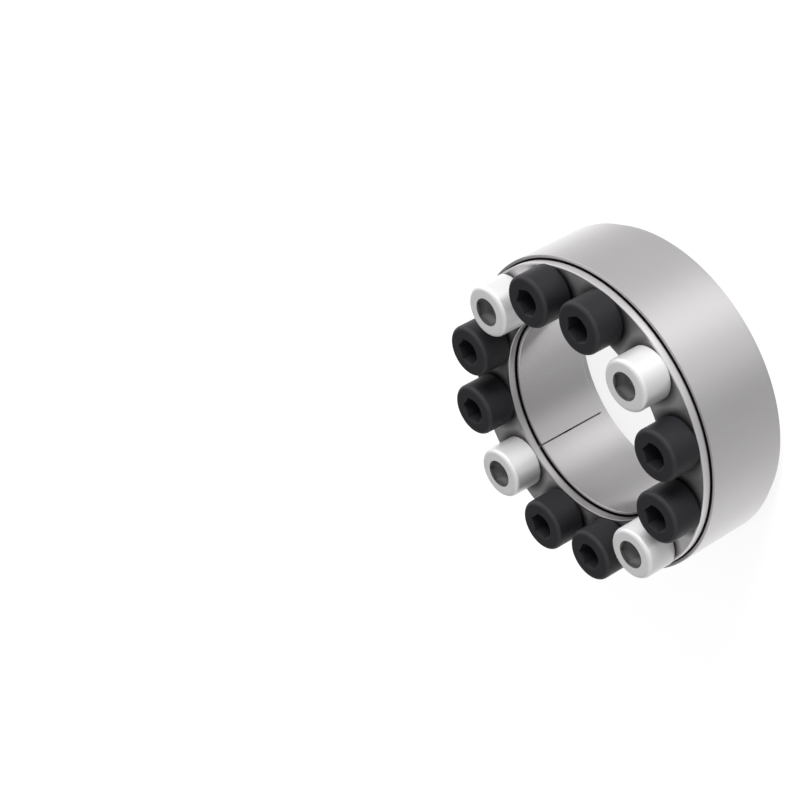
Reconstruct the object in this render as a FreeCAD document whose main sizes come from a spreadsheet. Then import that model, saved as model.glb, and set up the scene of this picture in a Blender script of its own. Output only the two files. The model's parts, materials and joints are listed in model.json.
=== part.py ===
import FreeCAD, Part
import math
import os

import Sketcher

# Keyless locking assembly for a 50 mm shaft in an 80 mm hub bore.
# Two slit rings with double tapers, one gripping the shaft and one the hub, are wedged apart by two
# thrust rings that twelve M8 socket head screws draw together.
# Frame: the axis is Z, the rear thrust ring rests on Z = 0, and the screw heads point to +Z.

PARTS_FOLDER = "parts"

# Driving sizes in millimetres and degrees: alias, value, what it is
SIZES = [
    ("bore_diameter", 50.0, "shaft bore of the inner ring"),
    ("ring_width", 20.0, "width of the inner and the outer ring"),
    ("ring_chamfer", 0.35, "chamfer at the bore's and the hub seat's edges"),
    ("mouth_width", 0.65, "radial width of the bevel at each taper's mouth"),
    ("mouth_depth", 1.0, "axial depth of the bevel at each taper's mouth"),
    ("rim_inset", 1.1, "step from the bore or the hub seat to a thrust ring's face edge"),
    ("face_wall", 1.9, "metal beside a clearance hole on a thrust ring's face"),
    ("thrust_width", 11.0, "axial width of a thrust ring"),
    ("thrust_overhang", 2.25, "how far a thrust ring stands out of the slit rings"),
    ("thrust_chamfer", 0.25, "chamfer at a thrust ring's edges"),
    ("taper_angle", 8.0, "angle of each taper to the axis"),
    ("taper_gap", 0.05, "radial play in a taper as supplied, before tightening"),
    ("outer_slit", 1.0, "width of the outer ring's slit"),
    ("inner_slit", 0.4, "width of the inner ring's slit"),
    ("slit_direction", 88.5, "direction of both slits from +X"),
    ("screw_count", 12.0, "screws on the bolt circle"),
    ("silver_spacing", 3.0, "each screw of this count is a silver one"),
    ("screw_diameter", 8.0, "thread of the screws"),
    ("screw_length", 22.0, "length of the screws under the head"),
    ("tip_chamfer", 1.0, "chamfer at a screw's tip"),
    ("head_diameter", 13.0, "diameter of a screw's head"),
    ("head_height", 8.0, "height of a screw's head"),
    ("head_rounding", 0.8, "rounding of a head's top edge"),
    ("foot_chamfer", 0.3, "chamfer at a head's bottom edge"),
    ("socket_flats", 6.0, "hexagon socket across the flats"),
    ("socket_depth", 4.2, "depth of the socket's flats"),
    ("socket_point", 1.0, "depth of the drill point below the flats"),
    ("socket_bevel", 0.35, "bevel from the hexagon's corners to the head's face"),
    ("clearance_play", 0.5, "radial play in the front thrust ring's clearance holes"),
    ("forcing_play", 0.25, "radial play in the cores of its M10 forcing threads"),
    ("thread_play", 0.05, "radial play in the rear thrust ring's tapped holes"),
    ("hole_chamfer", 0.5, "bevel at the mouths of the tapped holes"),
]

# Turn of each screw's hexagon about its own axis, in degrees, as the screws happened to stop
SOCKET_TURNS = [24, 8, 41, 13, 33, 19, 52, 3, 37, 46, 11, 28]

# Radii and levels that follow from the driving sizes
SHANK_RADIUS = "Sizes.screw_diameter / 2"
CLEARANCE_RADIUS = f"({SHANK_RADIUS} + Sizes.clearance_play)"
BORE_RADIUS = "Sizes.bore_diameter / 2"
FACE_INSIDE = f"({BORE_RADIUS} + Sizes.rim_inset)"
BOLT_RADIUS = f"({FACE_INSIDE} + Sizes.face_wall + {CLEARANCE_RADIUS})"
FACE_OUTSIDE = f"({BOLT_RADIUS} + {CLEARANCE_RADIUS} + Sizes.face_wall)"
SEAT_RADIUS = f"({FACE_OUTSIDE} + Sizes.rim_inset)"
SLOPE = "tan(Sizes.taper_angle * 1 deg)"
REAR_PLANE = "Sizes.thrust_overhang"
FRONT_PLANE = "(Sizes.thrust_overhang + Sizes.ring_width)"
MIDDLE = "(Sizes.thrust_overhang + Sizes.ring_width / 2)"
HEAD_SEAT = "(2 * Sizes.thrust_overhang + Sizes.ring_width)"
CORNER_RADIUS = "(Sizes.socket_flats / 2 / cos(30 deg))"

doc = FreeCAD.newDocument("locking_assembly")


def make_sheet():
    """Puts the driving sizes in a spreadsheet, each under its alias."""
    sheet = doc.addObject("Spreadsheet::Sheet", "Sizes")
    for row, (alias, value, meaning) in enumerate(SIZES, start=1):
        sheet.set(f"A{row}", meaning)
        sheet.set(f"B{row}", str(value))
        sheet.setAlias(f"B{row}", alias)
    doc.recompute()
    return sheet


def origin_feature(body, role):
    """The body's own origin plane or axis of that role."""
    return next(f for f in body.Origin.OriginFeatures if f.Role == role)


def new_sketch(body, name, plane, lift=None, turn=None):
    """A sketch on one of the body's origin planes, lifted and turned along the plane's normal."""
    sketch = body.newObject("Sketcher::SketchObject", name)
    sketch.AttachmentSupport = [(origin_feature(body, plane), "")]
    sketch.MapMode = "FlatFace"
    if turn is not None:
        sketch.setExpression("AttachmentOffset.Rotation.Angle", f"({turn}) * 1 deg")
    if lift is not None:
        sketch.setExpression("AttachmentOffset.Base.z", lift)
    return sketch


def number(sketch, formula):
    """The present value of a sheet formula."""
    value = sketch.evalExpression(formula)
    return float(getattr(value, "Value", value))


def bind(sketch, kind, where, formula):
    """Adds a driving dimension whose value is a sheet formula."""
    index = sketch.addConstraint(Sketcher.Constraint(kind, *where, number(sketch, formula)))
    sketch.setExpression(f"Constraints[{index}]", formula)


def draw_outline(sketch, corners):
    """A closed outline of straight lines through corners, each a pair of sheet formulas."""
    points = [FreeCAD.Vector(number(sketch, x), number(sketch, y), 0) for x, y in corners]
    lines = [Part.LineSegment(a, b) for a, b in zip(points, points[1:] + points[:1])]
    first = sketch.addGeometry(lines, False)[0]
    count = len(corners)
    for k in range(count):
        joined = Sketcher.Constraint("Coincident", first + k, 2, first + (k + 1) % count, 1)
        sketch.addConstraint(joined)
    for k, (x, y) in enumerate(corners):
        bind(sketch, "DistanceX", (-1, 1, first + k, 1), x)
        bind(sketch, "DistanceY", (-1, 1, first + k, 1), y)


def draw_circle(sketch, x, y, radius):
    """A circle whose centre and radius are sheet formulas."""
    centre = FreeCAD.Vector(number(sketch, x), number(sketch, y), 0)
    circle = Part.Circle(centre, FreeCAD.Vector(0, 0, 1), number(sketch, radius))
    index = sketch.addGeometry(circle, False)
    bind(sketch, "DistanceX", (-1, 1, index, 3), x)
    bind(sketch, "DistanceY", (-1, 1, index, 3), y)
    bind(sketch, "Radius", (index,), radius)


def draw_hexagon(sketch, corner_radius):
    """A regular hexagon about the sketch's origin, on a construction circle."""
    radius = number(sketch, corner_radius)
    normal = FreeCAD.Vector(0, 0, 1)
    circle = sketch.addGeometry(Part.Circle(FreeCAD.Vector(0, 0, 0), normal, radius), True)
    sketch.addConstraint(Sketcher.Constraint("Coincident", circle, 3, -1, 1))
    bind(sketch, "Radius", (circle,), corner_radius)
    angles = [math.radians(60 * k) for k in range(6)]
    points = [FreeCAD.Vector(radius * math.cos(a), radius * math.sin(a), 0) for a in angles]
    sides = [Part.LineSegment(a, b) for a, b in zip(points, points[1:] + points[:1])]
    first = sketch.addGeometry(sides, False)[0]
    for k in range(6):
        joined = Sketcher.Constraint("Coincident", first + k, 2, first + (k + 1) % 6, 1)
        sketch.addConstraint(joined)
        sketch.addConstraint(Sketcher.Constraint("PointOnObject", first + k, 1, circle))
    for k in range(1, 6):
        sketch.addConstraint(Sketcher.Constraint("Equal", first, first + k))
    sketch.addConstraint(Sketcher.Constraint("PointOnObject", first, 1, -1))


def screw_direction(index):
    """Direction of a screw from +X, as a formula."""
    return f"(360 deg * {index} / Sizes.screw_count)"


def on_bolt_circle(index):
    """Formulas of a screw's place on the bolt circle."""
    direction = screw_direction(index)
    return f"{BOLT_RADIUS} * cos({direction})", f"{BOLT_RADIUS} * sin({direction})"


def revolve(body, name, corners, cut=False):
    """Turns an outline in the XZ plane about the axis, to add material or to groove it."""
    sketch = new_sketch(body, name + "_profile", "XZ_Plane")
    draw_outline(sketch, corners)
    kind = "PartDesign::Groove" if cut else "PartDesign::Revolution"
    feature = body.newObject(kind, name)
    feature.Profile = sketch
    feature.ReferenceAxis = (sketch, ["V_Axis"])
    feature.Angle = 360.0
    doc.recompute()
    return feature


def cut_through(body, name, sketch):
    """Pockets a sketch on the XY plane right through the solid above it."""
    pocket = body.newObject("PartDesign::Pocket", name)
    pocket.Profile = sketch
    pocket.Type = "ThroughAll"
    pocket.Reversed = True
    doc.recompute()
    return pocket


def repeat_round_axis(body, name, features, occurrences):
    """Repeats features evenly round the body's Z axis."""
    pattern = body.newObject("PartDesign::PolarPattern", name)
    pattern.Originals = features
    pattern.Axis = (origin_feature(body, "Z_Axis"), [""])
    pattern.Angle = 360.0
    pattern.setExpression("Occurrences", occurrences)
    body.Tip = pattern
    doc.recompute()
    return pattern


def cut_slit(body, name, inside, outside, width):
    """Saws a radial slit through one side of a ring, from radius inside to radius outside."""
    sketch = new_sketch(body, name + "_profile", "XY_Plane", turn="Sizes.slit_direction")
    half = f"({width}) / 2"
    corners = [(inside, f"-{half}"), (outside, f"-{half}"), (outside, half), (inside, half)]
    draw_outline(sketch, corners)
    return cut_through(body, name, sketch)


def make_outer_ring():
    """Slit ring with a cylindrical hub seat and two tapers that open towards its ends."""
    body = doc.addObject("PartDesign::Body", "outer_ring")
    rim = f"({FACE_OUTSIDE} - Sizes.thrust_overhang * {SLOPE} + Sizes.taper_gap)"
    waist = f"({rim} - Sizes.ring_width / 2 * {SLOPE})"
    mouth = f"({rim} + Sizes.mouth_width)"
    taper_start = f"({rim} - Sizes.mouth_depth * {SLOPE})"
    revolve(body, "outer_ring_turning", [
        (mouth, REAR_PLANE),
        (f"{SEAT_RADIUS} - Sizes.ring_chamfer", REAR_PLANE),
        (SEAT_RADIUS, f"{REAR_PLANE} + Sizes.ring_chamfer"),
        (SEAT_RADIUS, f"{FRONT_PLANE} - Sizes.ring_chamfer"),
        (f"{SEAT_RADIUS} - Sizes.ring_chamfer", FRONT_PLANE),
        (mouth, FRONT_PLANE),
        (taper_start, f"{FRONT_PLANE} - Sizes.mouth_depth"),
        (waist, MIDDLE),
        (taper_start, f"{REAR_PLANE} + Sizes.mouth_depth"),
    ])
    cut_slit(body, "outer_ring_slit", f"{SEAT_RADIUS} / 2", f"{SEAT_RADIUS} + 1", "Sizes.outer_slit")
    return body


def make_inner_ring():
    """Slit ring with a cylindrical shaft bore and two tapers that fall towards its ends."""
    body = doc.addObject("PartDesign::Body", "inner_ring")
    rim = f"({FACE_INSIDE} + Sizes.thrust_overhang * {SLOPE} - Sizes.taper_gap)"
    waist = f"({rim} + Sizes.ring_width / 2 * {SLOPE})"
    mouth = f"({rim} - Sizes.mouth_width)"
    taper_start = f"({rim} + Sizes.mouth_depth * {SLOPE})"
    revolve(body, "inner_ring_turning", [
        (f"{BORE_RADIUS} + Sizes.ring_chamfer", REAR_PLANE),
        (mouth, REAR_PLANE),
        (taper_start, f"{REAR_PLANE} + Sizes.mouth_depth"),
        (waist, MIDDLE),
        (taper_start, f"{FRONT_PLANE} - Sizes.mouth_depth"),
        (mouth, FRONT_PLANE),
        (f"{BORE_RADIUS} + Sizes.ring_chamfer", FRONT_PLANE),
        (BORE_RADIUS, f"{FRONT_PLANE} - Sizes.ring_chamfer"),
        (BORE_RADIUS, f"{REAR_PLANE} + Sizes.ring_chamfer"),
    ])
    cut_slit(body, "inner_ring_slit", f"{BORE_RADIUS} / 2", f"{waist} + 1", "Sizes.inner_slit")
    return body


def thrust_section(face, thin):
    """Wedge section of a thrust ring: its wide face lies at level face, its thin end at level thin."""
    inward = f"({thin} > {face} ? 1 : -1)"
    edge = "Sizes.thrust_chamfer"
    narrowing = f"Sizes.thrust_width * {SLOPE}"
    bevel = f"{edge} * {SLOPE}"
    return [
        (f"{FACE_INSIDE} + {edge}", face),
        (f"{FACE_OUTSIDE} - {edge}", face),
        (f"{FACE_OUTSIDE} - {bevel}", f"{face} + {inward} * {edge}"),
        (f"{FACE_OUTSIDE} - {narrowing}", thin),
        (f"{FACE_INSIDE} + {narrowing}", thin),
        (f"{FACE_INSIDE} + {bevel}", f"{face} + {inward} * {edge}"),
    ]


def make_front_thrust_ring():
    """Wedge ring under the heads. The silver screws' holes are the smaller cores of forcing threads."""
    body = doc.addObject("PartDesign::Body", "front_thrust_ring")
    revolve(body, "front_thrust_turning", thrust_section(HEAD_SEAT, f"({HEAD_SEAT} - Sizes.thrust_width)"))
    sketch = new_sketch(body, "forcing_hole_profile", "XY_Plane")
    draw_circle(sketch, BOLT_RADIUS, "0", f"({SHANK_RADIUS} + Sizes.forcing_play)")
    forcing = cut_through(body, "forcing_hole", sketch)
    repeat_round_axis(body, "forcing_holes", [forcing], "Sizes.screw_count")
    sketch = new_sketch(body, "clearance_hole_profile", "XY_Plane")
    for index in range(int(number(sketch, "Sizes.screw_count"))):
        if index % int(number(sketch, "Sizes.silver_spacing")) != 0:
            x, y = on_bolt_circle(index)
            draw_circle(sketch, x, y, CLEARANCE_RADIUS)
    cut_through(body, "clearance_holes", sketch)
    return body


def make_rear_thrust_ring():
    """Wedge ring that the part rests on, with a tapped hole for each screw."""
    body = doc.addObject("PartDesign::Body", "rear_thrust_ring")
    revolve(body, "rear_thrust_turning", thrust_section("0", "Sizes.thrust_width"))
    sketch = new_sketch(body, "tapped_hole_profile", "XY_Plane")
    radius = f"({SHANK_RADIUS} + Sizes.thread_play)"
    draw_circle(sketch, BOLT_RADIUS, "0", radius)
    hole = cut_through(body, "tapped_hole", sketch)
    mouth = body.newObject("PartDesign::Chamfer", "tapped_hole_bevel")
    mouth.Base = (hole, [rear_mouth_edge(hole, number(sketch, radius))])
    mouth.setExpression("Size", "Sizes.hole_chamfer")
    doc.recompute()
    repeat_round_axis(body, "tapped_holes", [hole, mouth], "Sizes.screw_count")
    return body


def rear_mouth_edge(feature, radius):
    """Name of the round edge of that radius in the plane Z = 0."""
    for k, edge in enumerate(feature.Shape.Edges, start=1):
        round_edge = isinstance(edge.Curve, Part.Circle)
        if round_edge and abs(edge.Curve.Radius - radius) < 1e-6 and abs(edge.BoundBox.ZMax) < 1e-6:
            return f"Edge{k}"
    raise ValueError("the tapped hole has no mouth in the rear face")


def head_top_edge(feature, radius, height):
    """Name of the head's outer edge at its top."""
    for k, edge in enumerate(feature.Shape.Edges, start=1):
        round_edge = isinstance(edge.Curve, Part.Circle)
        if round_edge and abs(edge.Curve.Radius - radius) < 1e-6 and abs(edge.BoundBox.ZMin - height) < 1e-6:
            return f"Edge{k}"
    raise ValueError("the head has no top edge")


def make_screw(name, index):
    """Socket head screw, modelled with its head's seat at Z = 0, then set on the bolt circle."""
    body = doc.addObject("PartDesign::Body", name)
    head = "Sizes.head_diameter / 2"
    turning = revolve(body, name + "_turning", [
        ("0", "-Sizes.screw_length"),
        (f"{SHANK_RADIUS} - Sizes.tip_chamfer", "-Sizes.screw_length"),
        (SHANK_RADIUS, "-Sizes.screw_length + Sizes.tip_chamfer"),
        (SHANK_RADIUS, "0"),
        (f"{head} - Sizes.foot_chamfer", "0"),
        (head, "Sizes.foot_chamfer"),
        (head, "Sizes.head_height"),
        ("0", "Sizes.head_height"),
    ])
    rounding = body.newObject("PartDesign::Fillet", name + "_rounding")
    edge = head_top_edge(turning, number(body, head), number(body, "Sizes.head_height"))
    rounding.Base = (turning, [edge])
    rounding.setExpression("Radius", "Sizes.head_rounding")
    doc.recompute()
    drill_radius = "Sizes.socket_flats / 2"
    mouth_radius = f"({CORNER_RADIUS} + Sizes.socket_bevel)"
    revolve(body, name + "_drilling", [
        ("0", "Sizes.head_height - Sizes.socket_depth - Sizes.socket_point"),
        (drill_radius, "Sizes.head_height - Sizes.socket_depth"),
        (drill_radius, f"Sizes.head_height - ({mouth_radius} - {drill_radius})"),
        (mouth_radius, "Sizes.head_height"),
        ("0", "Sizes.head_height"),
    ], cut=True)
    sketch = new_sketch(body, name + "_hexagon", "XY_Plane", lift="Sizes.head_height")
    draw_hexagon(sketch, CORNER_RADIUS)
    socket = body.newObject("PartDesign::Pocket", name + "_socket")
    socket.Profile = sketch
    socket.setExpression("Length", "Sizes.socket_depth")
    x, y = on_bolt_circle(index)
    body.setExpression("Placement.Base.x", x)
    body.setExpression("Placement.Base.y", y)
    body.setExpression("Placement.Base.z", HEAD_SEAT)
    turn = SOCKET_TURNS[index % len(SOCKET_TURNS)]
    body.setExpression("Placement.Rotation.Angle", f"{screw_direction(index)} + {turn} deg")
    doc.recompute()
    return body


def make_screws(sheet):
    """One screw at each hole of the bolt circle; the silver ones cover the forcing threads."""
    screws = []
    silver = 0
    for index in range(int(sheet.screw_count)):
        if index % int(sheet.silver_spacing) == 0:
            silver += 1
            name = f"silver_screw_{silver}"
        else:
            name = f"black_screw_{index + 1 - silver}"
        screws.append(make_screw(name, index))
    return screws


def check_document(nodes):
    """Stops on a failed feature, or on a node whose shape is empty or invalid."""
    for item in doc.Objects:
        if "Invalid" in item.State or "Error" in item.State:
            raise RuntimeError(f"{item.Name} failed: {item.State}")
    for node in nodes:
        if node.Shape.isNull() or not node.Shape.isValid() or not node.Shape.Solids:
            raise RuntimeError(f"{node.Label} has no valid solid")


def main():
    sheet = make_sheet()
    nodes = [make_outer_ring(), make_inner_ring(), make_front_thrust_ring(), make_rear_thrust_ring()]
    nodes += make_screws(sheet)
    doc.recompute()
    check_document(nodes)
    os.makedirs(PARTS_FOLDER, exist_ok=True)
    for node in nodes:
        node.Shape.exportStep(os.path.join(PARTS_FOLDER, node.Label + ".step"))
        print(node.Label, round(node.Shape.Volume, 2), "mm3", len(node.Shape.Solids), "solid")


main()
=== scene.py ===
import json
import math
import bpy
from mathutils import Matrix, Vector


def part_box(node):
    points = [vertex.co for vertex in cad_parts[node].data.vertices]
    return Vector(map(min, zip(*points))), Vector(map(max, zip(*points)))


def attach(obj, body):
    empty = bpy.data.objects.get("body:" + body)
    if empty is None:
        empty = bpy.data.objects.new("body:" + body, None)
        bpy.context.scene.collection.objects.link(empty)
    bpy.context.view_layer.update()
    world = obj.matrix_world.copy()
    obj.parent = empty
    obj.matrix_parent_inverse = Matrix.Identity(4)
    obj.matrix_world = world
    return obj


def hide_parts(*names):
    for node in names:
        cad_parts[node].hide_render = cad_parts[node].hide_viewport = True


bl_info = {
    "name": "Keyless locking assembly",
    "version": (1, 0, 0),
    "blender": (4, 5, 0),
    "location": "3D View > Sidebar > Locking",
    "description": "Models and lights a keyless shaft-hub locking assembly around its fixed frame",
    "category": "Object",
}

import bpy
from bpy.props import FloatProperty, FloatVectorProperty, IntProperty, PointerProperty
from mathutils import Vector

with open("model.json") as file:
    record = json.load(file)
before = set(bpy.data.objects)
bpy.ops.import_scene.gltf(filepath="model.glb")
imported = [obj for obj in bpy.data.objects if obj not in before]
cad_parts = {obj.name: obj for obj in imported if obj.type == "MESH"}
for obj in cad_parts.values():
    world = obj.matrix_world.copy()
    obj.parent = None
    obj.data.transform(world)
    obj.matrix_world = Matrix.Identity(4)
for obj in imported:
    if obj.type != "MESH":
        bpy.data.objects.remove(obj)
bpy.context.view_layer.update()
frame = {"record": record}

MM = 0.001
BODIES = frame["record"]["behaviour"]["bodies"]
BODY_OF = {node: body for body, nodes in BODIES.items() for node in nodes}
MOUNTS = {mount["name"]: mount for mount in frame["record"]["mounts"]}
BORE_RADIUS = MOUNTS["shaft_bore"]["dims"]["r_mm"] * MM
SEAT_RADIUS = MOUNTS["hub_seat"]["dims"]["r_mm"] * MM
RING_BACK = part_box("outer_ring")[0].z
RING_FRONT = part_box("outer_ring")[1].z
FACE_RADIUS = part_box("front_thrust_ring")[1].x
FACE_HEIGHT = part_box("front_thrust_ring")[1].z
THRUST_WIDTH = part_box("rear_thrust_ring")[1].z
HEAD_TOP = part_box("silver_screw_1")[1].z
BOLT_RADIUS = (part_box("silver_screw_1")[0].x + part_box("silver_screw_1")[1].x) / 2
HEAD_RADIUS = (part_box("silver_screw_1")[1].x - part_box("silver_screw_1")[0].x) / 2
SCREW_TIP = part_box("silver_screw_1")[0].z

# Turn of each screw's hexagon about its own axis, in degrees, in the order of the bolt circle
SOCKET_TURNS = [24, 8, 41, 13, 33, 19, 52, 3, 37, 46, 11, 28]
SCREW_COUNT = len(SOCKET_TURNS)
SILVER_SPACING = 3
# Faces round one turn of a thread
THREAD_STEPS = 32
# A V groove as shares of its pitch: depth, half widths at a screw's and a hole's crest and at the root
THREAD_DEPTH = 0.6
SCREW_GROOVE = 0.44
HOLE_GROOVE = 0.43
ROOT_GROOVE = 0.07
# Points of a mesh that are nearer to one another are one point
MERGE_DISTANCE = 0.002 * MM
# Smaller than the 30 degrees of the countersinks, so that their edges stay sharp
SMOOTH_ANGLE = math.radians(27)
# How far the floor lies below the rear face, so that the two don't flicker
FLOOR_GAP = 0.02 * MM

# Tones as shares of the steel's or the zinc's colour: random streaks and milky clouds, painted shade in the
# bore and deep in the sockets, and a painted highlight on the front thrust ring's outer land
STEEL_STREAKS = (0.96, 1.04)
PAINTED_BORE_SHADE = 0.83
PAINTED_LAND_HIGHLIGHT = 1.27
MILKY_TONE = 0.93
DEEP_SOCKET_SHADE = 0.45

# Panels of the light tent that metal mirrors: direction round the object in degrees, and brightness
LOW_PANELS = [(0, 0.62), (25, 0.72), (50, 1.4), (72, 1.6), (110, 1.25), (155, 0.8), (190, 0.58), (228, 0.48),
              (262, 0.82), (292, 1.28), (330, 0.72), (360, 0.62)]
MIDDLE_PANELS = [(0, 1.1), (25, 1.1), (55, 0.3), (83, 0.15), (111, 0.3), (150, 0.9), (210, 0.6), (280, 1.0),
                 (320, 1.0), (360, 1.1)]
TOP_PANEL = 0.3


def length_setting(name, description, millimetres, digits=5):
    """A length that is given in millimetres and kept in metres."""
    return FloatProperty(name=name, description=description, default=millimetres * MM, unit="LENGTH",
                         precision=digits)


def colour_setting(name, description, value):
    """A colour of the finishes."""
    return FloatVectorProperty(name=name, description=description, default=value, size=3, subtype="COLOR",
                               min=0, max=1)


class RingSizes(bpy.types.PropertyGroup):
    """Sizes of the four rings that the frame's boxes don't give."""
    rim_inset: length_setting("Rim inset", "Step from bore or hub seat to a thrust ring", 1.1)
    taper: FloatProperty(name="Taper", description="Angle of each taper to the axis",
                         default=math.radians(8), subtype="ANGLE")
    taper_gap: length_setting("Taper gap", "Radial play in a taper before tightening", 0.05, digits=6)
    mouth_width: length_setting("Mouth width", "Radial width of the bevel at a taper's mouth", 0.65)
    mouth_depth: length_setting("Mouth depth", "Axial depth of the bevel at a taper's mouth", 1.0)
    chamfer: length_setting("Chamfer", "Chamfer at the bore's edges", 0.2)
    face_chamfer: length_setting("Face chamfer", "Chamfer at a thrust ring's edges", 0.16)
    land: length_setting("Land", "Round land from a thrust ring's face to its relief", 1.8)
    land_relief: length_setting("Land relief", "Axial length of the step down to the taper", 0.4)
    seat_chamfer: length_setting("Seat chamfer", "Chamfer at the hub seat's edges", 0.15)
    break_edge: length_setting("Broken edge", "Rounding that deburring leaves on sharp edges", 0.05, digits=6)
    outer_slit: length_setting("Outer slit", "Width of the outer ring's slit", 1.0)
    inner_slit: length_setting("Inner slit", "Width of the inner ring's slit", 0.4)
    slit_direction: FloatProperty(name="Slit direction", description="Direction of both slits from +X",
                                  default=math.radians(88.5), subtype="ANGLE")
    steps: IntProperty(name="Steps", description="Faces round a ring", default=288, min=24)


class ScrewSizes(bpy.types.PropertyGroup):
    """Sizes of a socket head screw."""
    thread_radius: length_setting("Thread radius", "Outer radius of the thread", 4.0)
    pitch: length_setting("Pitch", "Rise of one turn of the thread", 1.25)
    tip_chamfer: length_setting("Tip chamfer", "Chamfer at the tip", 1.0)
    head_rounding: length_setting("Head rounding", "Rounding of the head's top edge", 1.1)
    foot_chamfer: length_setting("Foot chamfer", "Chamfer under the head", 0.3)
    socket_flats: length_setting("Socket", "Hexagon socket across the flats", 6.0)
    socket_depth: length_setting("Socket depth", "Depth of the socket's flats", 4.2)
    socket_point: length_setting("Drill point", "Depth of the cone below the flats", 1.0)
    socket_bevel: length_setting("Socket bevel", "Bevel round the socket's mouth", 0.05)
    clearance_radius: length_setting("Clearance hole", "Radius of the black screws' holes", 4.5)
    forcing_radius: length_setting("Forcing hole", "Radius of the silver screws' holes", 4.25)
    thread_play: length_setting("Thread play", "Radial play in the tapped holes", 0.05, digits=6)
    forcing_pitch: length_setting("Forcing pitch", "Pitch of the forcing threads", 1.5)
    forcing_reach: length_setting("Forcing reach", "Length of the forcing threads in the wedge", 7.2)
    mouth_chamfer: length_setting("Mouth chamfer", "Chamfer at the tapped holes' mouths", 0.5)
    tapped_radius: length_setting("Tapped hole", "Radius of the rear thrust ring's holes", 4.05)
    steps: IntProperty(name="Steps", description="Faces round a screw", default=64, min=12)


class FinishColours(bpy.types.PropertyGroup):
    """Colours and gloss of the three finishes, and the colours of painted shade and painted highlight."""
    steel: colour_setting("Ring steel", "Colour of the turned and ground steel", (0.7, 0.685, 0.69))
    zinc: colour_setting("Zinc plate", "Colour of the zinc plating", (0.95, 0.945, 0.95))
    black: colour_setting("Black oxide", "Colour of the black oxide", (0.0215, 0.0205, 0.024))
    # Painted shade in the round gaps beside the thrust rings
    gap_shade_colour: colour_setting("Oil", "Colour of the oil in the gaps", (0.045, 0.04, 0.042))
    # Painted shade on the slits, tapers and holes between the rings, and painted shadow round the heads' feet
    painted_shade: colour_setting("Oiled steel", "Colour of the oiled steel between the rings", (0.16, 0.15, 0.152))
    # Painted shade just inside the mouths of the zinc screws' sockets
    socket_shade: colour_setting("Recess", "Colour of the plating in the sockets' mouths", (0.085, 0.083, 0.085))
    # Lighter oxide on the heads' rims: partly wear, partly a painted highlight
    worn_and_highlight: colour_setting("Worn edge", "Colour of the oxide where handling thins it", (0.048, 0.045, 0.05))
    steel_gloss: FloatProperty(name="Steel roughness", description="Roughness of turned steel", default=0.38)
    honed_gloss: FloatProperty(name="Bore roughness", description="Roughness of the honed bore", default=0.28)
    zinc_gloss: FloatProperty(name="Zinc roughness", description="Roughness of the plating", default=0.36)
    black_gloss: FloatProperty(name="Oxide roughness", description="Roughness of the oxide", default=0.5)


class StageSettings(bpy.types.PropertyGroup):
    """The camera and the lamps."""
    camera_place: FloatVectorProperty(name="Camera place", description="Where the camera stands",
                                      default=(-0.023218, -0.412923, 0.295158), size=3,
                                      subtype="TRANSLATION", precision=6)
    camera_turn: FloatVectorProperty(name="Camera turn", description="The camera's rotation",
                                     default=tuple(map(math.radians, (-39.519, 50.954, -143.187))), size=3,
                                     subtype="EULER", precision=5)
    lens: FloatProperty(name="Lens", description="Focal length for a 36 mm sensor", default=95.326)
    floor_size: FloatProperty(name="Floor size", description="Side of the floor", default=6.0, unit="LENGTH")
    floor_tone: FloatProperty(name="Floor tone", description="Grey of the floor under the lamps", default=0.5)
    floor_glow: FloatProperty(name="Floor glow", description="White that the camera sees added", default=0.75)
    ambient: FloatProperty(name="Ambient", description="Even light of the tent on matt surfaces", default=0.5)
    lamp_place: FloatVectorProperty(name="Lamp place", description="Where the soft lamp hangs",
                                    default=(0.4, -0.42, 0.16), size=3, subtype="TRANSLATION")
    lamp_spread: FloatProperty(name="Lamp spread", description="Angle that the soft lamp fills",
                               default=math.radians(30), subtype="ANGLE")
    lamp_power: FloatProperty(name="Lamp power", description="Power for each square metre", default=2.8)


def clear_selection():
    """Leaves edit mode and deselects every object."""
    if bpy.context.mode != "OBJECT":
        bpy.ops.object.mode_set(mode="OBJECT")
    bpy.ops.object.select_all(action="DESELECT")


def activate(piece):
    """Makes a piece the only selected object, and the active one."""
    clear_selection()
    piece.select_set(True)
    bpy.context.view_layer.objects.active = piece


def merge_doubles():
    """Merges the points of a mesh that lie on one another, in edit mode."""
    bpy.ops.mesh.select_all(action="SELECT")
    bpy.ops.mesh.remove_doubles(threshold=MERGE_DISTANCE)


def finish_edit():
    """Closes the seam of a spun shape, turns its faces outwards and leaves edit mode."""
    merge_doubles()
    bpy.ops.mesh.normals_make_consistent(inside=False)
    bpy.ops.object.mode_set(mode="OBJECT")


def draw_chain(name, points):
    """A chain of edges through (radius, height) points in the XZ plane, extruded vertex by vertex."""
    clear_selection()
    bpy.ops.mesh.primitive_plane_add(size=MM)
    piece = bpy.context.object
    piece.name = name
    piece.data.name = name
    bpy.ops.object.mode_set(mode="EDIT")
    bpy.ops.mesh.select_all(action="SELECT")
    bpy.ops.mesh.merge(type="CENTER")
    bpy.ops.transform.translate(value=(points[0][0], 0, points[0][1]))
    for (r0, z0), (r1, z1) in zip(points, points[1:]):
        move = {"value": (r1 - r0, 0, z1 - z0)}
        bpy.ops.mesh.extrude_vertices_move(TRANSFORM_OT_translate=move)
    return piece


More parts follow.
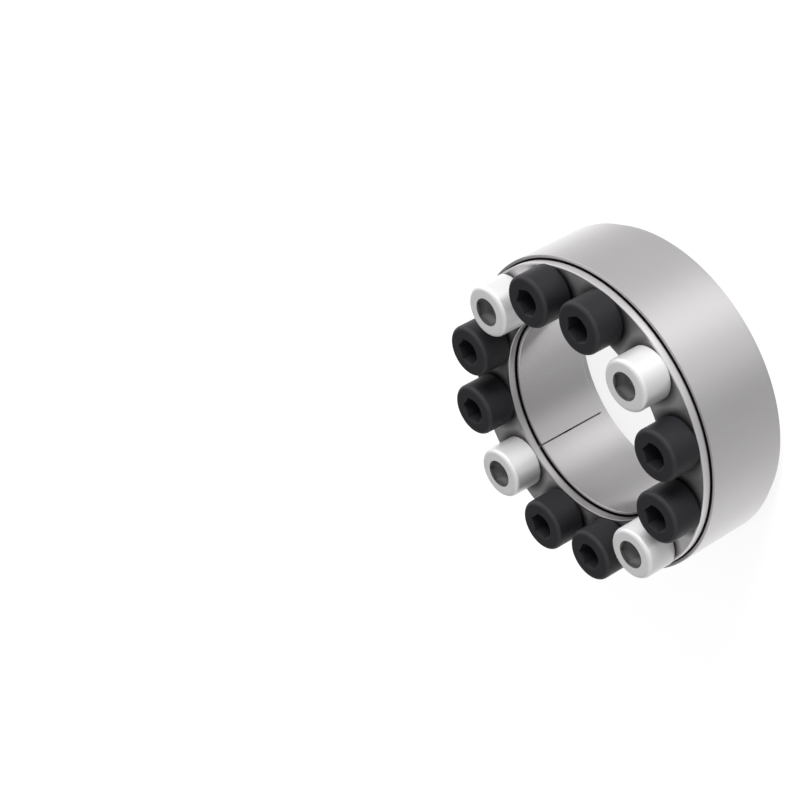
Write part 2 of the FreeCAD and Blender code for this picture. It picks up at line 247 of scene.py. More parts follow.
def round_corner(piece, place, width, segments):
    """Rounds the corner of an unspun outline that is nearest a (radius, height) place, in edit mode."""
    bpy.ops.mesh.select_mode(type="VERT")
    bpy.ops.mesh.select_all(action="DESELECT")
    bpy.ops.object.mode_set(mode="OBJECT")
    corner = Vector((place[0], 0, place[1]))
    nearest = min(piece.data.vertices, key=lambda vertex: (vertex.co - corner).length)
    nearest.select = True
    bpy.ops.object.mode_set(mode="EDIT")
    bpy.ops.mesh.bevel(affect="VERTICES", offset=width, segments=segments, profile=0.5)


def close_outline():
    """Joins the two ends of an outline in edit mode."""
    bpy.ops.mesh.select_all(action="SELECT")
    bpy.ops.mesh.edge_face_add()
    bpy.ops.mesh.delete(type="ONLY_FACE")


def turn_ring(name, section, steps, rounding):
    """A ring turned from a closed section of (radius, height) points, with its edges rounded."""
    piece = draw_chain(name, section)
    close_outline()
    for place in section:
        round_corner(piece, place, rounding, segments=4)
    bpy.ops.mesh.select_all(action="SELECT")
    bpy.ops.mesh.spin(steps=steps, angle=math.tau, center=(0, 0, 0), axis=(0, 0, 1), use_auto_merge=True)
    finish_edit()
    return piece


def turn_solid(name, outline, steps, rounded=()):
    """A solid turned from an outline that starts and ends on the axis, with some corners rounded."""
    piece = draw_chain(name, outline)
    for place, width, segments in rounded:
        round_corner(piece, place, width, segments)
    bpy.ops.mesh.select_all(action="SELECT")
    bpy.ops.mesh.spin(steps=steps, angle=math.tau, center=(0, 0, 0), axis=(0, 0, 1), use_auto_merge=True)
    finish_edit()
    return piece


def cut(piece, cutter):
    """Cuts one solid out of another and deletes the cutter."""
    activate(piece)
    modifier = piece.modifiers.new("cut", "BOOLEAN")
    modifier.operation = "DIFFERENCE"
    modifier.solver = "EXACT"
    modifier.object = cutter
    bpy.ops.object.modifier_apply(modifier=modifier.name)
    bpy.data.objects.remove(cutter)
    bpy.ops.object.mode_set(mode="EDIT")
    merge_doubles()
    bpy.ops.object.mode_set(mode="OBJECT")


def apply_place(piece):
    """Puts a piece's place, turn and scale into its mesh."""
    activate(piece)
    bpy.ops.object.transform_apply(location=True, rotation=True, scale=True)
    return piece


def place_copy(model, index, turn):
    """A copy of a model at one place of the bolt circle, turned about its own axis by some degrees."""
    activate(model)
    bpy.ops.object.duplicate(linked=False)
    direction = math.tau * index / SCREW_COUNT
    copy = bpy.context.object
    copy.rotation_euler.z = direction + math.radians(turn)
    copy.location = (BOLT_RADIUS * math.cos(direction), BOLT_RADIUS * math.sin(direction), 0)
    return apply_place(copy)


def on_bolt_circle(model, name, indexes, with_screws):
    """Copies of a cutter on the bolt circle, joined, and turned with the screws if asked; the cutter goes."""
    copies = [place_copy(model, index, SOCKET_TURNS[index] if with_screws else 0) for index in indexes]
    bpy.data.objects.remove(model)
    clear_selection()
    for copy in copies:
        copy.select_set(True)
    bpy.context.view_layer.objects.active = copies[0]
    if len(copies) > 1:
        bpy.ops.object.join()
    copies[0].name = name
    return copies[0]


def shade(piece):
    """Smooth over round faces, sharp at edges, with flat faces kept flat."""
    activate(piece)
    bpy.ops.object.shade_smooth_by_angle(angle=SMOOTH_ANGLE)
    modifier = piece.modifiers.new("even_normals", "WEIGHTED_NORMAL")
    modifier.keep_sharp = True
    bpy.ops.object.modifier_apply(modifier=modifier.name)


def mark_faces(piece, name, chosen):
    """Gives the faces for which chosen is true a mark of 1 that a material can read, and the rest 0."""
    mark = piece.data.attributes.new(name, "FLOAT", "FACE")
    mark.data.foreach_set("value", [1.0 if chosen(face) else 0.0 for face in piece.data.polygons])


def in_wedge_space(face):
    """True for a face between the rings, which gets painted shade: tapers, slits and the holes through them.
    """
    lit_mouth = 0.9 * MM
    skin = 0.3 * MM
    middle = (RING_BACK + RING_FRONT) / 2
    deep = abs(face.center.z - middle) < (RING_FRONT - RING_BACK) / 2 - lit_mouth
    return deep and BORE_RADIUS + skin < face.center.xy.length < SEAT_RADIUS - skin


def hand_over(piece, node, material):
    """Gives a piece its finish and lets it stand for its node of the frame."""
    piece.data.materials.clear()
    piece.data.materials.append(material)
    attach(piece, BODY_OF[node])
    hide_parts(node)


def slit_block(name, inside, outside, width, direction):
    """Block that saws a slit from radius inside to radius outside, through the whole width."""
    clear_selection()
    middle = (inside + outside) / 2
    place = (middle * math.cos(direction), middle * math.sin(direction), (RING_BACK + RING_FRONT) / 2)
    bpy.ops.mesh.primitive_cube_add(size=1, location=place, rotation=(0, 0, direction))
    block = bpy.context.object
    block.name = name
    block.scale = (outside - inside, width, 2 * (RING_FRONT - RING_BACK))
    return apply_place(block)


class LOCKING_OT_outer_ring(bpy.types.Operator):
    """Turn the outer ring with its double taper and saw its slit"""
    bl_idname = "locking.outer_ring"
    bl_label = "Outer ring"

    def execute(self, context):
        sizes = context.scene.locking_rings
        slope = math.tan(sizes.taper)
        rim = FACE_RADIUS - (FACE_HEIGHT - RING_FRONT) * slope + sizes.taper_gap
        middle = (RING_BACK + RING_FRONT) / 2
        waist = rim - (RING_FRONT - middle) * slope
        mouth = rim + sizes.mouth_width
        start = rim - sizes.mouth_depth * slope
        seat = SEAT_RADIUS - sizes.seat_chamfer
        piece = turn_ring("outer_ring_turned", [
            (mouth, RING_BACK),
            (seat, RING_BACK),
            (SEAT_RADIUS, RING_BACK + sizes.seat_chamfer),
            (SEAT_RADIUS, RING_FRONT - sizes.seat_chamfer),
            (seat, RING_FRONT),
            (mouth, RING_FRONT),
            (start, RING_FRONT - sizes.mouth_depth),
            (waist, middle),
            (start, RING_BACK + sizes.mouth_depth),
        ], sizes.steps, sizes.break_edge)
        saw = slit_block("outer_saw", waist * 0.8, SEAT_RADIUS * 1.1, sizes.outer_slit, sizes.slit_direction)
        cut(piece, saw)
        shade(piece)
        mark_faces(piece, "painted_shade", in_wedge_space)
        hand_over(piece, "outer_ring", turned_steel(context))
        return {"FINISHED"}


class LOCKING_OT_inner_ring(bpy.types.Operator):
    """Turn the inner ring with its double taper and saw its slit"""
    bl_idname = "locking.inner_ring"
    bl_label = "Inner ring"

    def execute(self, context):
        sizes = context.scene.locking_rings
        slope = math.tan(sizes.taper)
        rim = BORE_RADIUS + sizes.rim_inset + (FACE_HEIGHT - RING_FRONT) * slope - sizes.taper_gap
        middle = (RING_BACK + RING_FRONT) / 2
        waist = rim + (RING_FRONT - middle) * slope
        mouth = rim - sizes.mouth_width
        start = rim + sizes.mouth_depth * slope
        bore = BORE_RADIUS + sizes.chamfer
        piece = turn_ring("inner_ring_turned", [
            (bore, RING_BACK),
            (mouth, RING_BACK),
            (start, RING_BACK + sizes.mouth_depth),
            (waist, middle),
            (start, RING_FRONT - sizes.mouth_depth),
            (mouth, RING_FRONT),
            (bore, RING_FRONT),
            (BORE_RADIUS, RING_FRONT - sizes.chamfer),
            (BORE_RADIUS, RING_BACK + sizes.chamfer),
        ], sizes.steps, sizes.break_edge)
        saw = slit_block("inner_saw", BORE_RADIUS * 0.8, waist * 1.1, sizes.inner_slit, sizes.slit_direction)
        cut(piece, saw)
        shade(piece)
        mark_faces(piece, "painted_shade", in_wedge_space)
        hand_over(piece, "inner_ring", turned_steel(context))
        return {"FINISHED"}


def thrust_section(sizes, face, thin):
    """Wedge section of a thrust ring, with a round land between its wide face and its tapers."""
    inward = 1 if thin > face else -1
    slope = math.tan(sizes.taper)
    inside = BORE_RADIUS + sizes.rim_inset
    edge = sizes.face_chamfer
    land = face + inward * sizes.land
    relief = land + inward * sizes.land_relief
    to_relief = abs(relief - face) * slope
    to_thin = abs(thin - face) * slope
    return [
        (inside + edge, face),
        (FACE_RADIUS - edge, face),
        (FACE_RADIUS, face + inward * edge),
        (FACE_RADIUS, land),
        (FACE_RADIUS - to_relief, relief),
        (FACE_RADIUS - to_thin, thin),
        (inside + to_thin, thin),
        (inside + to_relief, relief),
        (inside, land),
        (inside, face + inward * edge),
    ]


def drill(radius, low, high, mouth, steps):
    """Round cutter on the Z axis through a thrust ring, with a bevelled mouth at its low end."""
    spare = MM
    return turn_solid("drill", [
        (0, low - spare),
        (radius + mouth + spare, low - spare),
        (radius, low + mouth),
        (radius, high + spare),
        (0, high + spare),
    ], steps)


class LOCKING_OT_front_thrust_ring(bpy.types.Operator):
    """Turn the front thrust ring and drill its clearance and forcing holes"""
    bl_idname = "locking.front_thrust_ring"
    bl_label = "Front thrust ring"

    def execute(self, context):
        sizes = context.scene.locking_rings
        screws = context.scene.locking_screws
        low = FACE_HEIGHT - THRUST_WIDTH
        piece = turn_ring("front_thrust_turned", thrust_section(sizes, FACE_HEIGHT, low), sizes.steps,
                          sizes.break_edge)
        silver = range(0, SCREW_COUNT, SILVER_SPACING)
        black = [index for index in range(SCREW_COUNT) if index not in silver]
        tool = drill(screws.clearance_radius, low, FACE_HEIGHT, 0, screws.steps)
        cut(piece, on_bolt_circle(tool, "clearance_drills", black, False))
        tool = drill(screws.forcing_radius, low, FACE_HEIGHT, 0, screws.steps)
        cut(piece, on_bolt_circle(tool, "forcing_drills", silver, False))
        reach = screws.forcing_reach
        tool = thread_groove("forcing_tap", screws.forcing_radius, screws.forcing_pitch, reach, 1)
        tool.location.z = FACE_HEIGHT - reach
        cut(piece, on_bolt_circle(apply_place(tool), "forcing_taps", silver, False))
        shade(piece)
        mark_faces(piece, "painted_shade", in_wedge_space)
        hand_over(piece, "front_thrust_ring", turned_steel(context))
        return {"FINISHED"}


class LOCKING_OT_rear_thrust_ring(bpy.types.Operator):
    """Turn the rear thrust ring and tap its holes"""
    bl_idname = "locking.rear_thrust_ring"
    bl_label = "Rear thrust ring"

    def execute(self, context):
        sizes = context.scene.locking_rings
        screws = context.scene.locking_screws
        piece = turn_ring("rear_thrust_turned", thrust_section(sizes, 0, THRUST_WIDTH), sizes.steps,
                          sizes.break_edge)
        everywhere = range(SCREW_COUNT)
        core = screws.thread_radius + screws.thread_play - THREAD_DEPTH * screws.pitch
        mouth = screws.tapped_radius + screws.mouth_chamfer - core
        tool = drill(core, 0, THRUST_WIDTH, mouth, screws.steps)
        cut(piece, on_bolt_circle(tool, "core_drills", everywhere, False))
        tool = thread_groove("tap", core, screws.pitch, THRUST_WIDTH, 1)
        # Half a pitch from the screws' grooves, so that their crests lie in the grooves of the holes
        tool.location.z = SCREW_TIP - screws.pitch * 3.5
        cut(piece, on_bolt_circle(apply_place(tool), "taps", everywhere, True))
        shade(piece)
        mark_faces(piece, "painted_shade", in_wedge_space)
        hand_over(piece, "rear_thrust_ring", turned_steel(context))
        return {"FINISHED"}


def model_screw(sizes):
    """One socket head screw on the Z axis, at its own height."""
    tip = sizes.thread_radius - sizes.tip_chamfer
    outline = [
        (0, SCREW_TIP),
        (tip, SCREW_TIP),
        (sizes.thread_radius, SCREW_TIP + sizes.tip_chamfer),
        (sizes.thread_radius, FACE_HEIGHT),
        (HEAD_RADIUS - sizes.foot_chamfer, FACE_HEIGHT),
        (HEAD_RADIUS, FACE_HEIGHT + sizes.foot_chamfer),
        (HEAD_RADIUS, HEAD_TOP),
        (0, HEAD_TOP),
    ]
    rounded = [((HEAD_RADIUS, HEAD_TOP), sizes.head_rounding, 8)]
    screw = turn_solid("screw_model", outline, sizes.steps, rounded)
    cut(screw, socket_drill(sizes))
    cut(screw, socket_hexagon(sizes))
    groove = thread_groove("thread_die", sizes.thread_radius, sizes.pitch, FACE_HEIGHT - SCREW_TIP, -1)
    groove.location.z = SCREW_TIP - sizes.pitch
    cut(screw, apply_place(groove))
    shade(screw)
    mark_rim(screw, sizes)
    mouth = sizes.socket_flats / math.sqrt(3) + sizes.socket_bevel
    bottom = HEAD_TOP - sizes.socket_depth - sizes.socket_point

    def in_socket(face):
        below_face = bottom < face.center.z < HEAD_TOP - 0.01 * MM
        return below_face and face.center.xy.length < mouth

    # Marks the socket faces that get painted shade
    mark_faces(screw, "socket_shade", in_socket)
    return screw


def mark_rim(screw, sizes):
    """Marks the rounding of the head as the rim attribute, most at its middle."""
    rim = screw.data.attributes.new("rim", "FLOAT", "CORNER")
    low = HEAD_TOP - sizes.head_rounding
    values = [0.0] * len(screw.data.loops)
    for face in screw.data.polygons:
        flat = abs(face.normal.z) > 0.98
        outside = face.center.xy.length > HEAD_RADIUS - sizes.head_rounding
        if flat or not outside or face.center.z < low:
            continue
        for loop in face.loop_indices:
            point = screw.data.vertices[screw.data.loops[loop].vertex_index].co
            share = (point.z - low) / sizes.head_rounding
            values[loop] = max(0.0, math.sin(math.pi * min(1, share)))
    rim.data.foreach_set("value", values)


def thread_groove(name, radius, pitch, height, side):
    """Helical V groove: side -1 cuts inwards from a screw's crest, 1 outwards from a hole's core."""
    depth = THREAD_DEPTH * pitch
    wide = (SCREW_GROOVE if side < 0 else HOLE_GROOVE) * pitch
    narrow = ROOT_GROOVE * pitch
    slope = (wide - narrow) / depth
    spare = 0.05 * pitch
    open_end = radius - side * spare
    root = radius + side * depth
    groove = draw_chain(name, [
        (open_end, -wide - slope * spare),
        (root, -narrow),
        (root, narrow),
        (open_end, wide + slope * spare),
    ])
    close_outline()
    bpy.ops.object.mode_set(mode="OBJECT")
    screw = groove.modifiers.new("turns", "SCREW")
    screw.angle = math.tau
    spare_turns = 3
    screw.iterations = math.ceil(height / pitch) + spare_turns
    screw.screw_offset = pitch
    screw.steps = THREAD_STEPS
    screw.render_steps = THREAD_STEPS
    screw.use_merge_vertices = True
    screw.merge_threshold = MERGE_DISTANCE
    bpy.ops.object.modifier_apply(modifier=screw.name)
    bpy.ops.object.mode_set(mode="EDIT")
    bpy.ops.mesh.select_all(action="DESELECT")
    bpy.ops.mesh.select_non_manifold(extend=False, use_wire=False, use_boundary=True, use_multi_face=False,
                                     use_non_contiguous=False, use_verts=False)
    bpy.ops.mesh.edge_face_add()
    finish_edit()
    return groove


def socket_drill(sizes):
    """Cutter for the socket's round core, its drill point and the bevel at its mouth."""
    drill_radius = sizes.socket_flats / 2 - 0.04 * MM
    corner = sizes.socket_flats / math.sqrt(3)
    mouth = corner + sizes.socket_bevel
    slope = math.tan(math.radians(30))
    above = MM
    return turn_solid("socket_drill", [
        (0, HEAD_TOP - sizes.socket_depth - sizes.socket_point),
        (drill_radius, HEAD_TOP - sizes.socket_depth),
        (drill_radius, HEAD_TOP - (mouth - drill_radius) * slope),
        (mouth + above, HEAD_TOP + above * slope),
        (0, HEAD_TOP + above * slope),
    ], sizes.steps)


def socket_hexagon(sizes):
    """Cutter for the socket's flats."""
    clear_selection()
    above = MM
    corner = sizes.socket_flats / math.sqrt(3)
    middle = HEAD_TOP + (above - sizes.socket_depth) / 2
    bpy.ops.mesh.primitive_cylinder_add(vertices=6, radius=corner, depth=sizes.socket_depth + above,
                                        location=(0, 0, middle), rotation=(0, 0, math.radians(30)))
    return apply_place(bpy.context.object)


class LOCKING_OT_screws(bpy.types.Operator):
    """Model one socket head screw and set a copy in each hole of the bolt circle"""
    bl_idname = "locking.screws"
    bl_label = "Screws"

    def execute(self, context):
        model = model_screw(context.scene.locking_screws)
        silver = 0
        for index, turn in enumerate(SOCKET_TURNS):
            piece = place_copy(model, index, turn)
            if index % SILVER_SPACING == 0:
                silver += 1
                node = f"silver_screw_{silver}"
                slot, material = "zinc_plate", satin_zinc(context)
            else:
                node = f"black_screw_{index + 1 - silver}"
                slot, material = "black_oxide", oiled_oxide(context)
            piece.name = node + "_turned"
            piece.data.name = piece.name
            hand_over(piece, node, material)
        bpy.data.objects.remove(model)
        return {"FINISHED"}


class Nodes:
    """Adds nodes to a tree, and links them by socket name."""

    def __init__(self, tree):
        self.tree = tree

    def add(self, kind, **values):
        node = self.tree.nodes.new(kind)
        for name, value in values.items():
            setattr(node, name, value)
        return node

    def link(self, source, output, target, name):
        self.tree.links.new(source.outputs[output], target.inputs[name])


def object_place(nodes):
    """The place on the piece, split into X, Y and Z."""
    place = nodes.add("ShaderNodeTexCoord")
    split = nodes.add("ShaderNodeSeparateXYZ")
    nodes.link(place, "Object", split, "Vector")
    return split


def object_noise(nodes, scale, detail):
    """Noise through the piece."""
    place = nodes.add("ShaderNodeTexCoord")
    noise = nodes.add("ShaderNodeTexNoise", noise_dimensions="3D")
    noise.inputs["Scale"].default_value = scale
    noise.inputs["Detail"].default_value = detail
    nodes.link(place, "Object", noise, "Vector")
    return noise


def turned_grooves_group():
    """Height of the fine rings that a turning tool leaves, and slow patches of tone and gloss."""
    found = bpy.data.node_groups.get("turned_grooves")
    if found:
        return found
    group = bpy.data.node_groups.new("turned_grooves", "ShaderNodeTree")
    face = group.interface
    face.new_socket(name="Density", in_out="INPUT", socket_type="NodeSocketFloat").default_value = 9000
    face.new_socket(name="Height", in_out="OUTPUT", socket_type="NodeSocketFloat")
    face.new_socket(name="Patches", in_out="OUTPUT", socket_type="NodeSocketFloat")
    nodes = Nodes(group)
    inputs = nodes.add("NodeGroupInput")
    outputs = nodes.add("NodeGroupOutput")
    across = nodes.add("ShaderNodeMath", operation="ADD")
    nodes.link(*axis_distance(nodes), across, 0)
    nodes.link(object_place(nodes), "Z", across, 1)
    scaled = nodes.add("ShaderNodeMath", operation="MULTIPLY")
    nodes.link(across, 0, scaled, 0)
    nodes.link(inputs, "Density", scaled, 1)
    grooves = nodes.add("ShaderNodeTexNoise", noise_dimensions="1D")
    grooves.inputs["Scale"].default_value = 1.0
    grooves.inputs["Detail"].default_value = 3.0
    nodes.link(scaled, 0, grooves, "W")
    nodes.link(grooves, "Fac", outputs, "Height")
    nodes.link(object_noise(nodes, scale=90.0, detail=4.0), "Fac", outputs, "Patches")
    return group


def gap_shade_film_group():
    """Mask of painted shade in a round gap between rings, in front and, mirrored, at the back."""
    found = bpy.data.node_groups.get("gap_shade_film")
    if found:
        return found
    group = bpy.data.node_groups.new("gap_shade_film", "ShaderNodeTree")
    face = group.interface
    face.new_socket(name="Radius", in_out="INPUT", socket_type="NodeSocketFloat")
    face.new_socket(name="Height", in_out="INPUT", socket_type="NodeSocketFloat")
    face.new_socket(name="Reach", in_out="INPUT", socket_type="NodeSocketFloat")
    face.new_socket(name="Mask", in_out="OUTPUT", socket_type="NodeSocketFloat")
    nodes = Nodes(group)
    inputs = nodes.add("NodeGroupInput")
    outputs = nodes.add("NodeGroupOutput")
    aside = nodes.add("ShaderNodeMath", operation="SUBTRACT")
    nodes.link(*axis_distance(nodes), aside, 0)
    nodes.link(inputs, "Radius", aside, 1)
    mirrored = nodes.add("ShaderNodeMath", operation="ABSOLUTE")
    nodes.link(*middle_height(nodes), mirrored, 0)
    above = nodes.add("ShaderNodeMath", operation="SUBTRACT")
    nodes.link(mirrored, 0, above, 0)
    nodes.link(inputs, "Height", above, 1)
    offset = nodes.add("ShaderNodeCombineXYZ")
    nodes.link(aside, 0, offset, "X")
    nodes.link(above, 0, offset, "Y")
    distance = nodes.add("ShaderNodeVectorMath", operation="LENGTH")
    nodes.link(offset, "Vector", distance, 0)
    share = nodes.add("ShaderNodeMath", operation="DIVIDE")
    nodes.link(distance, "Value", share, 0)
    nodes.link(inputs, "Reach", share, 1)
    # Full in the inner half of the reach, then fading out
    fade = nodes.add("ShaderNodeMapRange", interpolation_type="SMOOTHSTEP")
    fade.inputs["From Min"].default_value = 0.55
    fade.inputs["To Min"].default_value = 1.0
    fade.inputs["To Max"].default_value = 0.0
    nodes.link(share, 0, fade, "Value")
    nodes.link(fade, "Result", outputs, "Mask")
    return group


def axis_distance(nodes):
    """Distance from the Z axis, as a node and its output."""
    place = nodes.add("ShaderNodeTexCoord")
    flat = nodes.add("ShaderNodeVectorMath", operation="MULTIPLY")
    flat.inputs[1].default_value = (1, 1, 0)
    nodes.link(place, "Object", flat, 0)
    length = nodes.add("ShaderNodeVectorMath", operation="LENGTH")
    nodes.link(flat, "Vector", length, 0)
    return length, "Value"


def middle_height(nodes):
    """Height above the middle of the slit rings, as a node and its output."""
    offset = nodes.add("ShaderNodeMath", operation="SUBTRACT")
    offset.inputs[1].default_value = (RING_BACK + RING_FRONT) / 2
    nodes.link(object_place(nodes), "Z", offset, 0)
    return offset, 0


def head_distance(nodes):
    """Distance from the axis of the nearest screw, as a node and its output."""
    split = object_place(nodes)
    angle = nodes.add("ShaderNodeMath", operation="ARCTAN2")
    nodes.link(split, "Y", angle, 0)
    nodes.link(split, "X", angle, 1)
    nearest = nodes.add("ShaderNodeMath", operation="WRAP")
    nearest.inputs[1].default_value = math.pi / SCREW_COUNT
    nearest.inputs[2].default_value = -math.pi / SCREW_COUNT
    nodes.link(angle, 0, nearest, 0)
    along = nodes.add("ShaderNodeCombineXYZ")
    nodes.link(*axis_distance(nodes), along, "X")
    turned = nodes.add("ShaderNodeVectorRotate", rotation_type="Z_AXIS")
    nodes.link(along, "Vector", turned, "Vector")
    nodes.link(nearest, 0, turned, "Angle")
    offset = nodes.add("ShaderNodeVectorMath", operation="DISTANCE")
    offset.inputs[1].default_value = (BOLT_RADIUS, 0, 0)
    nodes.link(turned, "Vector", offset, 0)
    return offset, "Value"


def ramp_mask(nodes, value, none, full):
    """0 where a value is at none, and 1 where it is at full, which may be the smaller of the two."""
    mask = nodes.add("ShaderNodeMapRange")
    mask.inputs["From Min"].default_value = none
    mask.inputs["From Max"].default_value = full
    nodes.link(*value, mask, "Value")
    return mask, "Result"


def both_masks(nodes, first, second):
    """The product of two masks."""
    product = nodes.add("ShaderNodeMath", operation="MULTIPLY")
    nodes.link(*first, product, 0)
    nodes.link(*second, product, 1)
    return product, 0


def blend_colours(nodes, factor, low, high):
    """A colour that goes from low to high with a factor, each a colour or a node and its output."""
    mix = nodes.add("ShaderNodeMix", data_type="RGBA")
    nodes.link(*factor, mix, "Factor")
    for name, colour in (("A", low), ("B", high)):
        socket = next(item for item in mix.inputs if item.name == name and item.type == "RGBA")
        if isinstance(colour[0], bpy.types.Node):
            nodes.tree.links.new(colour[0].outputs[colour[1]], socket)
        else:
            socket.default_value = (*colour, 1)
    output = next(item for item in mix.outputs if item.type == "RGBA")
    return mix, list(mix.outputs).index(output)


def new_material(name):
    """A node material with a Principled shader, its node helper and that shader."""
    material = bpy.data.materials.new(name)
    material.use_nodes = True
    nodes = Nodes(material.node_tree)
    shader = material.node_tree.nodes["Principled BSDF"]
    return material, nodes, shader


def shaded(colour, share):
    """A colour that is darker or lighter by a share."""
    return tuple(min(1, part * share) for part in colour)


def set_range(nodes, source, output, low, high):
    """Maps a 0 to 1 value to low to high, as a node and its output."""
    ramp = nodes.add("ShaderNodeMapRange")
    ramp.inputs["To Min"].default_value = low
    ramp.inputs["To Max"].default_value = high
    nodes.link(source, output, ramp, "Value")
    return ramp, "Result"


def uneven_gloss(nodes, source, output, gloss, spread):
    """A roughness that a 0 to 1 value varies by a share to both sides, as a node and its output."""
    return set_range(nodes, source, output, gloss * (1 - spread), gloss * (1 + spread))


def add_bump(nodes, shader, source, output, strength, distance):
    """Gives a shader a fine relief."""
    bump = nodes.add("ShaderNodeBump")
    bump.inputs["Strength"].default_value = strength
    bump.inputs["Distance"].default_value = distance
    nodes.link(source, output, bump, "Height")
    nodes.link(bump, "Normal", shader, "Normal")


def front_face_painted_light(nodes, colours, radius, inside, base):
    """A painted highlight on the outer land in front, and a painted shadow round the heads' feet."""
    reach = (RING_FRONT - RING_BACK) / 2
    in_front = ramp_mask(nodes, middle_height(nodes), none=reach + 0.1 * MM, full=reach + 0.15 * MM)
    land = ramp_mask(nodes, radius, none=FACE_RADIUS - 0.35 * MM, full=FACE_RADIUS - 0.25 * MM)
    land = both_masks(nodes, in_front, land)
    # Painted highlight: the front thrust ring's outer land is made lighter than the steel
    base = blend_colours(nodes, land, base, shaded(colours.steel, PAINTED_LAND_HIGHLIGHT))
    past_bore = ramp_mask(nodes, radius, none=inside + 0.4 * MM, full=inside + 0.7 * MM)
    inside_land = ramp_mask(nodes, radius, none=FACE_RADIUS - 0.4 * MM, full=FACE_RADIUS - 0.6 * MM)
    face = both_masks(nodes, both_masks(nodes, in_front, past_bore), inside_land)
    # Painted shadow: the front face darkens round each head's foot
    foot_shadow = ramp_mask(nodes, head_distance(nodes), none=HEAD_RADIUS + 2.4 * MM, full=HEAD_RADIUS + 0.3 * MM)
    return blend_colours(nodes, both_masks(nodes, face, foot_shadow), base, colours.painted_shade)


def gap_painted_shade(nodes, colours, gap, base):
    """Painted shade in the round gap at a radius, in front and at the back."""
    gap_shade = nodes.add("ShaderNodeGroup", node_tree=gap_shade_film_group())
    gap_shade.inputs["Radius"].default_value = gap
    gap_shade.inputs["Height"].default_value = (RING_FRONT - RING_BACK) / 2 - 0.35 * MM
    gap_shade.inputs["Reach"].default_value = 0.65 * MM
    return blend_colours(nodes, (gap_shade, "Mask"), base, colours.gap_shade_colour)


def turned_steel(context):
    """Finely turned and ground steel with a honed bore, and painted light: painted shade in the bore, in the
    gaps and slits between the rings and round the heads' feet, and a painted highlight on the front land.
    """
    found = bpy.data.materials.get("turned_steel")
    if found:
        return found
    colours = context.scene.locking_colours
    inside = BORE_RADIUS + context.scene.locking_rings.rim_inset
    material, nodes, shader = new_material("turned_steel")
    grooves = nodes.add("ShaderNodeGroup", node_tree=turned_grooves_group())
    shader.inputs["Metallic"].default_value = 1.0
    shader.inputs["Anisotropic"].default_value = 0.85
    shader.inputs["Anisotropic Rotation"].default_value = 0.25
    darker, lighter = [shaded(colours.steel, streak) for streak in STEEL_STREAKS]
    base = blend_colours(nodes, (grooves, "Patches"), darker, lighter)
    radius = axis_distance(nodes)
    in_bore = ramp_mask(nodes, radius, none=inside + MM, full=inside)
    # Painted shade: the bore is made darker than the rest of the steel
    base = blend_colours(nodes, in_bore, base, shaded(colours.steel, PAINTED_BORE_SHADE))
    base = front_face_painted_light(nodes, colours, radius, inside, base)
    # Painted shade on the faces between the rings: slits, tapers and holes
    base = marked(nodes, "painted_shade", base, colours.painted_shade)
    # Painted shade in the round gaps on both sides of the thrust rings, in front and at the back
    for gap in (FACE_RADIUS + 0.05 * MM, inside - 0.05 * MM):
        base = gap_painted_shade(nodes, colours, gap, base)
    nodes.link(*base, shader, "Base Color")
    turned = uneven_gloss(nodes, grooves, "Patches", colours.steel_gloss, spread=0.08)
    honed = uneven_gloss(nodes, grooves, "Patches", colours.honed_gloss, spread=0.08)
    nodes.link(*mix_values(nodes, in_bore, turned, honed), shader, "Roughness")
    tangent = nodes.add("ShaderNodeTangent", direction_type="RADIAL", axis="Z")
    nodes.link(tangent, "Tangent", shader, "Tangent")
    add_bump(nodes, shader, grooves, "Height", strength=0.1, distance=0.004 * MM)
    return material


def marked(nodes, name, low, high):
    """A colour that goes from low to high where the mesh carries a mark."""
    mark = nodes.add("ShaderNodeAttribute", attribute_name=name)
    return blend_colours(nodes, (mark, "Fac"), low, high)


def worn_rim_and_highlight(nodes, worn_and_highlight, plain):
    """Goes from a plain colour to a lighter one on the head's rim, in uneven patches: partly wear, partly a
    painted highlight on the rounding.
    """
    rim = nodes.add("ShaderNodeAttribute", attribute_name="rim")
    patches = object_noise(nodes, scale=500.0, detail=3.0)
    uneven = set_range(nodes, patches, "Fac", low=0.35, high=1.0)
    return blend_colours(nodes, both_masks(nodes, (rim, "Fac"), uneven), plain, worn_and_highlight)


def satin_zinc(context):
    """Bright, slightly milky zinc plating, with painted shade in the sockets, darkest just inside their
    mouths.
    """
    found = bpy.data.materials.get("satin_zinc")
    if found:
        return found
    colours = context.scene.locking_colours
    material, nodes, shader = new_material("satin_zinc")
    shader.inputs["Metallic"].default_value = 0.36
    cloud = object_noise(nodes, scale=250.0, detail=4.0)
    base = blend_colours(nodes, (cloud, "Fac"), shaded(colours.zinc, MILKY_TONE), colours.zinc)
    height = (object_place(nodes), "Z")
    depth = ramp_mask(nodes, height, none=HEAD_TOP - 0.4 * MM, full=HEAD_TOP - 2.4 * MM)
    # Painted shade in the socket: darkest just inside the mouth, lighter deeper down
    socket = blend_colours(nodes, depth, colours.socket_shade, shaded(colours.zinc, DEEP_SOCKET_SHADE))
    nodes.link(*marked(nodes, "socket_shade", base, socket), shader, "Base Color")
    gloss = uneven_gloss(nodes, cloud, "Fac", colours.zinc_gloss, spread=0.15)
    nodes.link(*gloss, shader, "Roughness")
    return material


